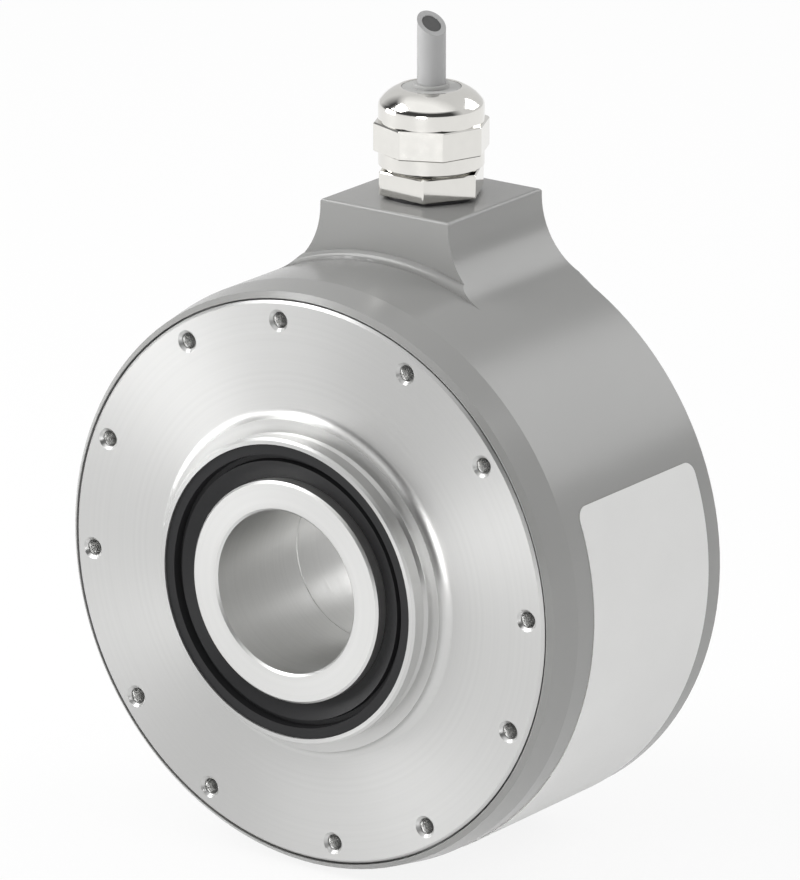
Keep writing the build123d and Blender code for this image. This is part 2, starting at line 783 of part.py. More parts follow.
with BuildPart() as gland_cap_nut:
    grip_low = cap_base + cap_grip_start
    nut(gland_cap_nut, cap_grip_r, cap_grip_sides, grip_low, grip_low + cap_grip_height, cap_grip_turn)
    dome_foot = cap_top - cap_dome
    with BuildSketch(Plane.XZ.offset(-gland_y)) as cap_outline:
        with BuildLine():
            Polyline((0, cap_base), (cap_r - cap_foot_chamfer, cap_base),
                     (cap_r, cap_base + cap_foot_chamfer), (cap_r, dome_foot))
            shoulder_r = (2 * cap_r + cap_top_r) / 3
            shoulder_z = (cap_top + dome_foot) / 2
            ThreePointArc((cap_r, dome_foot), (shoulder_r, shoulder_z), (cap_top_r, cap_top))
            Polyline((cap_top_r, cap_top), (0, cap_top), (0, cap_base))
        make_face()
        fillet(cap_outline.vertices().group_by(Axis.X)[-1].sort_by(Axis.Y)[-1], cap_edge_r)
    revolve(cap_outline.sketch, axis=Axis((0, gland_y, 0), (0, 0, 1)))
    cone_foot = finger_top - finger_taper - open_clearance
    cone_top = finger_top + open_clearance
    stacked((0, cap_base - overcut), (thread_r + cap_thread_gap, cap_base - overcut),
            (thread_r + cap_thread_gap, cone_foot), (insert_r + finger_wall / 2 + open_clearance, cone_top),
            (insert_r, cone_top), (insert_r, cap_top + overcut), (0, cap_top + overcut), mode=Mode.SUBTRACT)
gland_cap_nut.part.label = "gland_cap_nut"


def cut_plane(drop):
    """The slanting plane of the cable's cut end, lowered by this much."""
    return Plane(origin=(0, gland_y, cable_end - drop), z_dir=(cut_slope_x, cut_slope_y, 1))


cable_top = cable_end + 2 * cable_r
with BuildPart() as cable_jacket:
    jacket_bore_r = core_r + fit_gap
    stacked((jacket_bore_r, cable_inside), (cable_r, cable_inside), (cable_r, cable_top),
            (jacket_bore_r, cable_top))
    split(bisect_by=cut_plane(0), keep=Keep.BOTTOM)
cable_jacket.part.label = "cable_jacket"

with BuildPart() as cable_core:
    stacked((0, cable_inside), (core_r, cable_inside), (core_r, cable_top), (0, cable_top))
    split(bisect_by=cut_plane(core_setback), keep=Keep.BOTTOM)
cable_core.part.label = "cable_core"

with BuildPart() as cable_wires:
    with BuildSketch(Plane.XY.offset(connector_top)) as wire_ends:
        with Locations((0, gland_y)):
            with GridLocations(2 * wire_pitch, 2 * wire_pitch, 2, 2):
                Circle(wire_r)
    extrude(wire_ends.sketch, amount=cable_inside - connector_top)
cable_wires.part.label = "cable_wires"

# foil label wrapped round the housing's right side
with BuildPart() as type_label:
    label_rear = housing_depth - label_margin
    start_x, start_z = around(label_top_angle, 1)
    label_start = Plane(origin=(0, 0, 0), x_dir=(start_x, 0, start_z), z_dir=(-start_z, 0, start_x))
    with BuildSketch(label_start) as foil_section:
        with Locations((housing_r + label_gap + label_thickness / 2, (label_front + label_rear) / 2)):
            Rectangle(label_thickness, label_rear - label_front)
    revolve(foil_section.sketch, axis=Axis.Y, revolution_arc=label_angle)
    corners = type_label.edges().filter_by(lambda edge: edge.length < 2 * label_thickness)
    fillet(corners, label_corner_r)
type_label.part.label = "type_label"

parts = [
    front_flange.part, housing.part, flange_gasket.part, flange_posts.part, housing_screws.part,
    front_shaft_seal.part, rear_shaft_seal.part, hollow_shaft.part, clamp_sleeve.part, clamp_ring.part,
    clamp_screw.part, bearing_outer_spacer.part, bearing_inner_spacer.part, preload_spring.part,
    bearing_retaining_ring.part, shaft_retaining_ring.part, disc_hub.part, code_disc.part,
    disc_clamp_plate.part, disc_screws.part, lamp_bracket.part, led_lamp.part, reticle.part,
    detector_chip.part, detector_carrier.part, sensor_board.part, board_spacers.part, interface_chip.part,
    cable_connector.part, gland_washer.part, gland_body.part, gland_fingers.part, gland_insert.part,
    gland_cap_nut.part, cable_jacket.part, cable_core.part, cable_wires.part, type_label.part,
] + bearing_parts

os.makedirs("parts", exist_ok=True)
for piece in parts:
    export_step(piece, f"parts/{piece.label}.step")
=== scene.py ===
"""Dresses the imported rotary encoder: its finishes, the screw threads of its flange, the run-outs of its rear
chamfer beside the saddle, and a studio stage."""

from math import cos, pi, radians, sin

import bmesh
import bpy
from bpy.props import FloatProperty, FloatVectorProperty, IntProperty, PointerProperty
from mathutils import Matrix, Vector


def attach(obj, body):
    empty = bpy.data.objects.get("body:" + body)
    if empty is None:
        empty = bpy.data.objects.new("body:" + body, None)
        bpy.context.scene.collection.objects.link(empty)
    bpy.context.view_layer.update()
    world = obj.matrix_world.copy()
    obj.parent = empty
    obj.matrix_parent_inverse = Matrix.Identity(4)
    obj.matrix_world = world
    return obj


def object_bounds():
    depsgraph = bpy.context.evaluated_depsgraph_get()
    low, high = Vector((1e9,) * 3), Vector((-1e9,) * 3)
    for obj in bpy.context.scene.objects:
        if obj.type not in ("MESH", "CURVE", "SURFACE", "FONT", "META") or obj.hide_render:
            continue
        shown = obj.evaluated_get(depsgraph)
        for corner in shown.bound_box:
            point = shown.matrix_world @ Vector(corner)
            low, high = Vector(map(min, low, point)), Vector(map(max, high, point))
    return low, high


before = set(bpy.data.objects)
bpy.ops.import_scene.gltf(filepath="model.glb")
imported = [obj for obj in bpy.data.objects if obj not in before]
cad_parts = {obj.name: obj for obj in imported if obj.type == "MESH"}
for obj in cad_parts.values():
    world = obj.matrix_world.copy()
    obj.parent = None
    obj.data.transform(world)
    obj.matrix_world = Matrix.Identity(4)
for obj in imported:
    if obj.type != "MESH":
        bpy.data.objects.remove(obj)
cad_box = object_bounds()

bl_info = {
    "name": "Rotary Encoder Dresser",
    "version": (1, 0, 0),
    "blender": (4, 5, 0),
    "location": "View3D > Sidebar > Encoder",
    "description": "Finishes a hollow-shaft rotary encoder and sets it on a studio stage",
    "category": "Object",
}

# New forms. All lengths are in metres, the front faces -Y, and the shaft's axis is the Y axis.
FIT = 0.00002  # how far a new form reaches into the solid that carries it, so that no gap shows
SETBACK = 0.00001  # how far a face stays behind one that it would otherwise share a plane with
MERGE_DISTANCE = 1e-7  # points closer together than this are one point
SHARP_ANGLE = radians(35)  # edges that bend more than this stay crisp

JACKET_GREY = (0.42, 0.42, 0.42)
SHEEN_TURN = 0.25  # a quarter turn lays the sheen of turned metal across its rings

# The floor.
FLOOR_HALF_WIDTH = 6
FLOOR_DROP = 0.0002  # gap between the floor and the housing
FLOOR_WHITE = (0.9, 0.9, 0.9)
FLOOR_GLOW = 0.88  # share of plain white that the camera, polished metal and glass see on the floor

# The room. Its brightness follows the direction one looks in, whose height and depth run from -1 to 1.
HORIZON_BAND = (0.02, 0.08)  # heights between which the pale horizon gives way to the dark walls
CEILING_BAND = (0.66, 0.82)  # heights between which the walls give way to the bright ceiling
REAR_BAND = (-0.1, 0.3)  # depths between which the walls turn pale behind the encoder

# The camera.
VIEW_TURN, VIEW_TILT = radians(36.135), radians(17.285)  # round from the front to the right, and up from level
VIEW_DISTANCE = 1.27842
VIEW_ASIDE, VIEW_ABOVE = 0.013942, 0.021247  # how far the line of sight passes beside and above the origin
SENSOR_HEIGHT = 36  # in millimetres
VIEW_DEPTH = 20  # nothing farther away than this is drawn


class HousingSettings(bpy.types.PropertyGroup):
    """Paint of the housing, run-outs of its rear chamfer, and foil of the label."""

    paint: FloatVectorProperty(name="Paint", description="Colour of the painted housing", subtype="COLOR",
                               size=3, min=0, max=1, default=(0.305, 0.305, 0.298))
    paint_roughness: FloatProperty(name="Paint roughness", description="How dull the paint is", subtype="FACTOR",
                                   min=0, max=1, default=0.24)
    foil: FloatVectorProperty(name="Foil", description="Colour of the bare label", subtype="COLOR",
                              size=3, min=0, max=1, default=(0.8, 0.8, 0.79))
    rim: FloatProperty(name="Rim radius", description="Outer radius of the housing", subtype="DISTANCE",
                       unit="LENGTH", min=0.01, max=0.2, default=0.045)
    rear: FloatProperty(name="Rear face", description="Distance of the rear face from the flange", subtype="DISTANCE",
                        unit="LENGTH", min=0.01, max=0.2, default=0.0435)
    chamfer: FloatProperty(name="Rear chamfer", description="Width of the chamfer on the rear rim",
                           subtype="DISTANCE", unit="LENGTH", min=0.0001, max=0.005, default=0.0008)
    run_out_start: FloatProperty(name="Run-out start", subtype="ANGLE", unit="ROTATION", min=0, max=pi / 2,
                                 description="Angle at which a run-out begins, just under the saddle's flank",
                                 default=radians(67))
    run_out: FloatProperty(name="Run-out", description="Angle over which the chamfer grows to its full width",
                           subtype="ANGLE", unit="ROTATION", min=0.01, max=1, default=radians(8.4))


class MetalSettings(bpy.types.PropertyGroup):
    """Bare metals of the flange, the shaft and the gland."""

    aluminium: FloatVectorProperty(name="Aluminium", description="Colour of the turned flange", subtype="COLOR",
                                   size=3, min=0, max=1, default=(0.63, 0.63, 0.622))
    steel: FloatVectorProperty(name="Steel", description="Colour of the shaft", subtype="COLOR",
                               size=3, min=0, max=1, default=(0.74, 0.74, 0.73))
    nickel: FloatVectorProperty(name="Nickel", description="Colour of the plated gland", subtype="COLOR",
                                size=3, min=0, max=1, default=(0.76, 0.748, 0.715))
    groove_pitch: FloatProperty(name="Turning pitch", description="Distance between the marks of the turning tool",
                                subtype="DISTANCE", unit="LENGTH", min=0.00005, max=0.002, default=0.00055)


class ThreadSettings(bpy.types.PropertyGroup):
    """Screw threads in the flange's holes."""

    circle: FloatProperty(name="Hole circle", description="Radius of the circle of holes", subtype="DISTANCE",
                          unit="LENGTH", min=0.01, max=0.1, default=0.04)
    pairs: IntProperty(name="Hole pairs", description="Pairs of holes round the flange", min=1, max=12, default=6)
    first: FloatProperty(name="First hole", description="Angle of the first hole from the right-hand side",
                         subtype="ANGLE", unit="ROTATION", min=0, max=2 * pi, default=radians(3))
    gap: FloatProperty(name="Pair angle", description="Angle between the two holes of a pair", subtype="ANGLE",
                       unit="ROTATION", min=0, max=pi, default=radians(34))
    start: FloatProperty(name="Start depth", description="Depth of the countersink, where the thread begins",
                         subtype="DISTANCE", unit="LENGTH", min=0, max=0.005, default=0.00045)
    core: FloatProperty(name="Core radius", description="Radius of the plain hole", subtype="DISTANCE",
                        unit="LENGTH", min=0.0005, max=0.005, default=0.00125)
    pitch: FloatProperty(name="Thread pitch", description="Distance from one crest to the next", subtype="DISTANCE",
                         unit="LENGTH", min=0.0001, max=0.002, default=0.0005)
    crest: FloatProperty(name="Crest height", description="How far the thread stands into the hole",
                         subtype="DISTANCE", unit="LENGTH", min=0.00002, max=0.0005, default=0.00014)
    turns: IntProperty(name="Turns", description="Turns of thread in each hole", min=1, max=14, default=8)
    facets: IntProperty(name="Steps per turn", description="Flats that make up one turn", min=8, max=64, default=20)


class SealSettings(bpy.types.PropertyGroup):
    """Rubber of the lip seals."""

    rubber: FloatVectorProperty(name="Rubber", description="Colour of the seals", subtype="COLOR",
                                size=3, min=0, max=1, default=(0.019, 0.019, 0.02))


class StageSettings(bpy.types.PropertyGroup):
    """Light and lens."""

    key_strength: FloatProperty(name="Key light", description="Power of the large light above", unit="POWER",
                                min=0, max=100, default=4.5)
    side_strength: FloatProperty(name="Side light", description="Power of the light on the left", unit="POWER",
                                 min=0, max=100, default=1.1)
    front_strength: FloatProperty(name="Front light", description="Power of the low light in front", unit="POWER",
                                  min=0, max=100, default=1.1)
    rear_strength: FloatProperty(name="Rear light", description="Power of the light behind", unit="POWER",
                                 min=0, max=100, default=1.8)
    room: FloatProperty(name="Room brightness", description="Brightness of the ceiling", min=0, max=4,
                        default=1.15)
    haze: FloatProperty(name="Horizon brightness", min=0, max=1, default=0.65,
                        description="Share of the ceiling's brightness at the horizon and behind the object")
    wall: FloatProperty(name="Wall brightness", description="Share of the ceiling's brightness on the walls",
                        min=0, max=1, default=0.05)
    lens: FloatProperty(name="Lens", description="Focal length of the camera", subtype="DISTANCE_CAMERA",
                        unit="CAMERA", min=50, max=1000, default=353.8)


def new_finish(name, colour, metallic, roughness):
    """A new material with its shader set to one colour, and that shader to build on."""
    material = bpy.data.materials.new(name)
    material.use_nodes = True
    shader = material.node_tree.nodes["Principled BSDF"]
    shader.inputs["Base Color"].default_value = (*colour, 1)
    shader.inputs["Metallic"].default_value = metallic
    shader.inputs["Roughness"].default_value = roughness
    return material, shader


def new_node(owner, kind, **settings):
    """Adds a node to a material or to the world, and sets its own settings and its unlinked inputs."""
    node = owner.node_tree.nodes.new(kind)
    for key, value in settings.items():
        if key in node.inputs:
            node.inputs[key].default_value = value
        else:
            setattr(node, key, value)
    return node


def link(owner, source, target):
    """Joins an output socket to an input socket."""
    owner.node_tree.links.new(source, target)


def object_place(material):
    """The socket that gives each point's own place on the object."""
    return new_node(material, "ShaderNodeTexCoord").outputs["Object"]


def speckle(material, scale, detail=4.0, stretch=(1, 1, 1)):
    """A noise pattern of this fineness, from 0 to 1; it may be stretched along an axis."""
    mapping = new_node(material, "ShaderNodeMapping")
    mapping.inputs["Scale"].default_value = stretch
    link(material, object_place(material), mapping.inputs["Vector"])
    noise = new_node(material, "ShaderNodeTexNoise", Scale=scale, Detail=detail)
    link(material, mapping.outputs["Vector"], noise.inputs["Vector"])
    return noise.outputs["Fac"]


def spread(owner, source, low, high, from_low=0.3, from_high=0.7):
    """Maps a pattern to a range of values."""
    ramp = new_node(owner, "ShaderNodeMapRange")
    ramp.inputs["From Min"].default_value = from_low
    ramp.inputs["From Max"].default_value = from_high
    ramp.inputs["To Min"].default_value = low
    ramp.inputs["To Max"].default_value = high
    link(owner, source, ramp.inputs["Value"])
    return ramp.outputs["Result"]


def tint(material, source, colour, amount):
    """A colour that a pattern lightens and darkens by this amount."""
    mix = new_node(material, "ShaderNodeMix", data_type="RGBA")
    mix.inputs["A"].default_value = (*(c * (1 - amount) for c in colour), 1)
    mix.inputs["B"].default_value = (*(min(1, c * (1 + amount)) for c in colour), 1)
    link(material, source, mix.inputs["Factor"])
    return mix.outputs["Result"]


def bumps(material, shader, source, strength, height):
    """Turns a pattern into relief on the surface."""
    bump = new_node(material, "ShaderNodeBump", Strength=strength, Distance=height)
    link(material, source, bump.inputs["Height"])
    link(material, bump.outputs["Normal"], shader.inputs["Normal"])


def seen_by(owner, *rays):
    """A switch that is on for these kinds of ray."""
    path = new_node(owner, "ShaderNodeLightPath")
    switch = path.outputs[rays[0]]
    for ray in rays[1:]:
        either = new_node(owner, "ShaderNodeMath", operation="MAXIMUM")
        link(owner, switch, either.inputs[0])
        link(owner, path.outputs[ray], either.inputs[1])
        switch = either.outputs["Value"]
    return switch


def blend(owner, share, plain, bright, target):
    """Mixes a bright shader into a plain one by this share and leads the result to the target socket."""
    mix = new_node(owner, "ShaderNodeMixShader")
    link(owner, share, mix.inputs["Fac"])
    link(owner, plain, mix.inputs[1])
    link(owner, bright, mix.inputs[2])
    link(owner, mix.outputs["Shader"], target)


def turning_marks(material, pitch):
    """A pattern of fine rings about the shaft's axis, irregular as a tool leaves them."""
    parts = new_node(material, "ShaderNodeSeparateXYZ")
    link(material, object_place(material), parts.inputs["Vector"])
    flat = new_node(material, "ShaderNodeCombineXYZ")
    link(material, parts.outputs["X"], flat.inputs["X"])
    link(material, parts.outputs["Z"], flat.inputs["Y"])
    radius = new_node(material, "ShaderNodeVectorMath", operation="LENGTH")
    link(material, flat.outputs["Vector"], radius.inputs[0])
    along = new_node(material, "ShaderNodeCombineXYZ")
    link(material, radius.outputs["Value"], along.inputs["X"])
    link(material, parts.outputs["Y"], along.inputs["Y"])
    noise = new_node(material, "ShaderNodeTexNoise", Scale=1 / pitch, Detail=3.0)
    link(material, along.outputs["Vector"], noise.inputs["Vector"])
    return noise.outputs["Fac"]


def turned_metal(name, colour, roughness, pitch, depth, anisotropic):
    """Metal turned about the shaft's axis, with rings that spread the light across them."""
    material, shader = new_finish(name, colour, metallic=1.0, roughness=roughness)
    marks = turning_marks(material, pitch)
    shader.inputs["Anisotropic"].default_value = anisotropic
    shader.inputs["Anisotropic Rotation"].default_value = SHEEN_TURN
    tangent = new_node(material, "ShaderNodeTangent", direction_type="RADIAL", axis="Y")
    link(material, tangent.outputs["Tangent"], shader.inputs["Tangent"])
    link(material, tint(material, marks, colour, amount=0.07), shader.inputs["Base Color"])
    link(material, spread(material, marks, roughness - 0.04, roughness + 0.05), shader.inputs["Roughness"])
    bumps(material, shader, marks, strength=0.25, height=depth)
    return material


def worn_metal(name, colour, roughness, grain, relief=0.00001):
    """Plain metal with a fine grain in its colour and gloss."""
    material, shader = new_finish(name, colour, metallic=1.0, roughness=roughness)
    pattern = speckle(material, grain)
    link(material, tint(material, pattern, colour, amount=0.04), shader.inputs["Base Color"])
    link(material, spread(material, pattern, roughness * 0.8, roughness * 1.25), shader.inputs["Roughness"])
    bumps(material, shader, pattern, strength=0.15, height=relief)
    return material


def moulded(name, colour, roughness, grain, relief=0.00002, cloudy=0.06, shine=0.5):
    """Moulded plastic, rubber or paint: even colour, a little cloudy, with a fine skin."""
    material, shader = new_finish(name, colour, metallic=0.0, roughness=roughness)
    shader.inputs["Specular IOR Level"].default_value = shine
    pattern = speckle(material, grain)
    cloud = speckle(material, 60.0, detail=2.0)
    link(material, tint(material, cloud, colour, cloudy), shader.inputs["Base Color"])
    link(material, spread(material, pattern, roughness * 0.88, roughness * 1.12), shader.inputs["Roughness"])
    bumps(material, shader, pattern, strength=0.2, height=relief)
    return material


def glassy(name, colour, roughness):
    """Clear glass or plastic with faint streaks."""
    material, shader = new_finish(name, colour, metallic=0.0, roughness=roughness)
    shader.inputs["Transmission Weight"].default_value = 0.85
    shader.inputs["IOR"].default_value = 1.49
    pattern = speckle(material, 900.0)
    link(material, spread(material, pattern, roughness, roughness + 0.05), shader.inputs["Roughness"])
    return material


def dress(material, *nodes):
    """Gives a finish to CAD nodes."""
    for name in nodes:
        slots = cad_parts[name].data.materials
        slots.clear()
        slots.append(material)


def object_from(bm, name, body, material):
    """Makes an object of the bmesh, dresses it and lets it move with its body."""
    bmesh.ops.remove_doubles(bm, verts=bm.verts, dist=MERGE_DISTANCE)
    bmesh.ops.recalc_face_normals(bm, faces=bm.faces)
    mesh = bpy.data.meshes.new(name)
    bm.to_mesh(mesh)
    bm.free()
    mesh.shade_smooth()
    mesh.set_sharp_from_angle(angle=SHARP_ANGLE)
    piece = bpy.data.objects.new(name, mesh)
    bpy.context.collection.objects.link(piece)
    mesh.materials.append(material)
    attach(piece, body)


def copied_verts(bm, shape):
    """Copies a shape inside its bmesh and gives back the copy's points."""
    copied = bmesh.ops.duplicate(bm, geom=shape)["geom"]
    return [item for item in copied if isinstance(item, bmesh.types.BMVert)]


def copy_round(bm, places):
    """Moves everything in the bmesh to the first place and sets a copy at each other place."""
    shape = bm.verts[:] + bm.edges[:] + bm.faces[:]
    first = bm.verts[:]
    for place in places[1:]:
        bmesh.ops.translate(bm, verts=copied_verts(bm, shape), vec=place)
    bmesh.ops.translate(bm, verts=first, vec=places[0])


def wound_thread(thread):
    """Winds a three-cornered ridge round the Y axis into a right-handed screw thread with closed ends."""
    bm = bmesh.new()
    wall, crest = thread.core + FIT, thread.core - thread.crest
    corners = [bm.verts.new(point) for point in (
        (wall, thread.start, 0), (crest, thread.start + thread.pitch / 2, 0), (wall, thread.start + thread.pitch, 0))]
    edges = [bm.edges.new(pair) for pair in zip(corners, corners[1:] + corners[:1])]
    bmesh.ops.spin(bm, geom=corners + edges, cent=(0, 0, 0), axis=(0, 1, 0), dvec=(0, thread.pitch / thread.facets, 0),
                   angle=2 * pi * thread.turns, steps=thread.turns * thread.facets, use_duplicate=False)
    bmesh.ops.holes_fill(bm, edges=[edge for edge in bm.edges if edge.is_boundary], sides=len(corners))
    return bm


def chamfer_run_outs(look):
    """Fills the rear chamfer on both sides of the saddle, so that it runs out there without a step."""
    bm = bmesh.new()
    bmesh.ops.create_cube(bm, size=1.0)
    lengthwise = [edge for edge in bm.edges if abs(edge.verts[0].co.x - edge.verts[1].co.x) > 0.5]
    bmesh.ops.subdivide_edges(bm, edges=lengthwise, cuts=13, use_grid_fill=True)
    for vert in bm.verts:
        # The bar bends round the rim, and its outer rear edge sinks into the chamfer, softly at both ends.
        gone, outward, rearward = (value + 0.5 for value in vert.co)
        sunk = look.chamfer / 2 * gone**2 * (3 - 2 * gone) * outward * rearward
        radius = look.rim - look.chamfer * (1 - outward) - sunk
        turn = look.run_out_start - look.run_out * gone
        depth = look.rear - SETBACK - look.chamfer * (1 - rearward) - sunk
        vert.co = (radius * cos(turn), depth, radius * sin(turn))
    bmesh.ops.scale(bm, verts=copied_verts(bm, bm.verts[:] + bm.edges[:] + bm.faces[:]), vec=(-1, 1, 1))
    return bm


def lay_floor(scene):
    """Lays a white floor that keeps the encoder's shadow and looks bright in polished metal."""
    bm = bmesh.new()
    bmesh.ops.create_grid(bm, x_segments=1, y_segments=1, size=FLOOR_HALF_WIDTH)
    bmesh.ops.translate(bm, verts=bm.verts, vec=(0, 0, cad_box[0][2] - FLOOR_DROP))
    mesh = bpy.data.meshes.new("floor")
    bm.to_mesh(mesh)
    bm.free()
    floor = bpy.data.objects.new("floor", mesh)
    scene.collection.objects.link(floor)
    material, shader = new_finish("floor_white", FLOOR_WHITE, metallic=0.0, roughness=0.7)
    grain = speckle(material, 3.0)
    link(material, tint(material, grain, FLOOR_WHITE, amount=0.005), shader.inputs["Base Color"])
    bright = new_node(material, "ShaderNodeEmission", Color=(1, 1, 1, 1), Strength=1.0)
    share = new_node(material, "ShaderNodeMath", operation="MULTIPLY")
    share.inputs[1].default_value = FLOOR_GLOW
    link(material, seen_by(material, "Is Camera Ray", "Is Glossy Ray", "Is Transmission Ray"), share.inputs[0])
    blend(material, share.outputs[0], shader.outputs["BSDF"], bright.outputs["Emission"],
          material.node_tree.nodes["Material Output"].inputs["Surface"])
    mesh.materials.append(material)


def light_room(scene, look):
    """Lights the room by direction: bright ceiling, dark walls, pale horizon and rear, white behind everything."""
    world = bpy.data.worlds.new("studio")
    scene.world = world
    world.use_nodes = True
    room = world.node_tree.nodes["Background"]
    room.inputs["Strength"].default_value = look.room
    heading = new_node(world, "ShaderNodeSeparateXYZ")
    link(world, new_node(world, "ShaderNodeTexCoord").outputs["Generated"], heading.inputs["Vector"])
    haze, wall, ceiling = ((shade, shade, shade, 1) for shade in (look.haze, look.wall, 1.0))
    walls = new_node(world, "ShaderNodeValToRGB")
    ramp = walls.color_ramp.elements
    ramp[0].position, ramp[1].position = HORIZON_BAND
    ramp[0].color, ramp[1].color = haze, wall
    for position, shade in zip(CEILING_BAND, (wall, ceiling)):
        ramp.new(position).color = shade
    link(world, heading.outputs["Z"], walls.inputs["Fac"])
    behind = new_node(world, "ShaderNodeMix", data_type="RGBA", blend_type="MIX")
    link(world, spread(world, heading.outputs["Y"], 0, 1, *REAR_BAND), behind.inputs["Factor"])
    link(world, walls.outputs["Color"], behind.inputs["A"])
    behind.inputs["B"].default_value = haze
    link(world, behind.outputs["Result"], room.inputs["Color"])
    backdrop = new_node(world, "ShaderNodeBackground", Color=(1, 1, 1, 1), Strength=1.0)
    blend(world, seen_by(world, "Is Camera Ray", "Is Transmission Ray"), room.outputs["Background"],
          backdrop.outputs["Background"], world.node_tree.nodes["World Output"].inputs["Surface"])


def hang_lamps(scene, look):
    """Hangs square lamps round the encoder, each turned towards it."""
    for name, place, width, power in (
        ("key", (-0.6, -0.45, 0.66), 0.5, look.key_strength),
        ("front", (0.15, -0.53, 0.01), 0.2, look.front_strength),
        ("side", (-0.5, -0.24, 0.06), 0.3, look.side_strength),
        ("rear", (0.39, 0.77, 0.5), 0.5, look.rear_strength),
    ):
        lamp = bpy.data.lights.new(name, "AREA")
        lamp.shape = "RECTANGLE"
        lamp.size = lamp.size_y = width
        lamp.energy = power
        light = bpy.data.objects.new(name, lamp)
        light.location = place
        light.rotation_euler = (-Vector(place)).to_track_quat("-Z", "Y").to_euler()
        scene.collection.objects.link(light)


def set_camera(scene, lens):
    """Sets the camera before the encoder, a little to its right and above it."""
    right = Vector((cos(VIEW_TURN), sin(VIEW_TURN), 0))
    back = Vector((sin(VIEW_TURN) * cos(VIEW_TILT), -cos(VIEW_TURN) * cos(VIEW_TILT), sin(VIEW_TILT)))
    up = back.cross(right)
    camera = bpy.data.cameras.new("camera")
    camera.sensor_fit = "VERTICAL"
    camera.sensor_height = SENSOR_HEIGHT
    camera.lens = lens
    camera.clip_end = VIEW_DEPTH
    viewer = bpy.data.objects.new("camera", camera)
    place = back * VIEW_DISTANCE + right * VIEW_ASIDE + up * VIEW_ABOVE
    viewer.matrix_world = Matrix.Translation(place) @ Matrix((right, up, back)).transposed().to_4x4()
    scene.collection.objects.link(viewer)
    scene.camera = viewer


class ENCODER_OT_housing(bpy.types.Operator):
    """Paints the housing, lets its rear chamfer run out beside the saddle and lays the bare foil label on it"""

    bl_idname = "encoder.housing"
    bl_label = "Housing and Label"

    def execute(self, context):
        look = context.scene.encoder_housing
        paint = moulded("grey_enamel", look.paint, look.paint_roughness, grain=1500.0, relief=0.000015, cloudy=0.03,
                        shine=0.6)
        dress(paint, "housing")
        object_from(chamfer_run_outs(look), "saddle_run_outs", "case", paint)
        foil, shader = new_finish("label_foil", look.foil, metallic=0.0, roughness=0.42)
        pattern = speckle(foil, 2500.0)
        cloud = speckle(foil, 90.0, detail=3.0)
        link(foil, tint(foil, cloud, look.foil, amount=0.03), shader.inputs["Base Color"])
        link(foil, spread(foil, pattern, low=0.36, high=0.48), shader.inputs["Roughness"])
        bumps(foil, shader, pattern, strength=0.1, height=0.000008)
        dress(foil, "type_label")
        return {"FINISHED"}


class ENCODER_OT_flange(bpy.types.Operator):
    """Gives the flange its turned face and cuts the threads of its holes"""

    bl_idname = "encoder.flange"
    bl_label = "Flange"

    def execute(self, context):
        look = context.scene.encoder_metal
        dress(turned_metal("turned_aluminium", look.aluminium, roughness=0.36, pitch=look.groove_pitch,
                           depth=0.00003, anisotropic=0.8), "front_flange")
        thread = context.scene.encoder_thread
        turns = [start + 2 * pi * pair / thread.pairs for pair in range(thread.pairs)
                 for start in (thread.first, thread.first + thread.gap)]
        bm = wound_thread(thread)
        copy_round(bm, [(thread.circle * cos(turn), 0, thread.circle * sin(turn)) for turn in turns])
        cut = worn_metal("cut_aluminium", look.aluminium, roughness=0.25, grain=900.0)
        object_from(bm, "flange_threads", "case", cut)
        return {"FINISHED"}


class ENCODER_OT_shaft(bpy.types.Operator):
    """Finishes the hollow shaft, its sleeve, and the clamp ring and screws on the rear"""

    bl_idname = "encoder.shaft"
    bl_label = "Shaft and Clamp"

    def execute(self, context):
        look = context.scene.encoder_metal
        dress(turned_metal("turned_steel", look.steel, roughness=0.38, pitch=look.groove_pitch, depth=0.00002,
                           anisotropic=0.3), "hollow_shaft", "clamp_sleeve")
        dress(worn_metal("zinc_plate", (0.55, 0.55, 0.55), roughness=0.35, grain=900.0),
              "clamp_ring", "clamp_screw", "housing_screws")
        return {"FINISHED"}


class ENCODER_OT_seals(bpy.types.Operator):
    """Finishes the two lip seals round the shaft"""

    bl_idname = "encoder.seals"
    bl_label = "Shaft Seals"

    def execute(self, context):
        look = context.scene.encoder_seals
        dress(moulded("black_rubber", look.rubber, roughness=0.42, grain=1800.0, cloudy=0.1, shine=0.22),
              "front_shaft_seal", "rear_shaft_seal")
        return {"FINISHED"}


class ENCODER_OT_gland(bpy.types.Operator):
    """Plates the cable gland and finishes its rubber and plastic parts, and the flange's gasket"""

    bl_idname = "encoder.gland"
    bl_label = "Cable Gland"

    def execute(self, context):
        look = context.scene.encoder_metal
        dress(worn_metal("nickel_plate", look.nickel, roughness=0.09, grain=700.0, relief=0.000002),
              "gland_body", "gland_cap_nut")
        dress(moulded("sealing_rubber", (0.03, 0.03, 0.032), roughness=0.6, grain=900.0), "gland_washer")
        dress(moulded("gasket_rubber", (0.11, 0.11, 0.11), roughness=0.7, grain=900.0), "flange_gasket")
        dress(moulded("insert_rubber", (0.5, 0.5, 0.49), roughness=0.55, grain=900.0), "gland_insert")
        dress(moulded("finger_plastic", (0.7, 0.69, 0.65), roughness=0.4, grain=900.0), "gland_fingers")
        return {"FINISHED"}


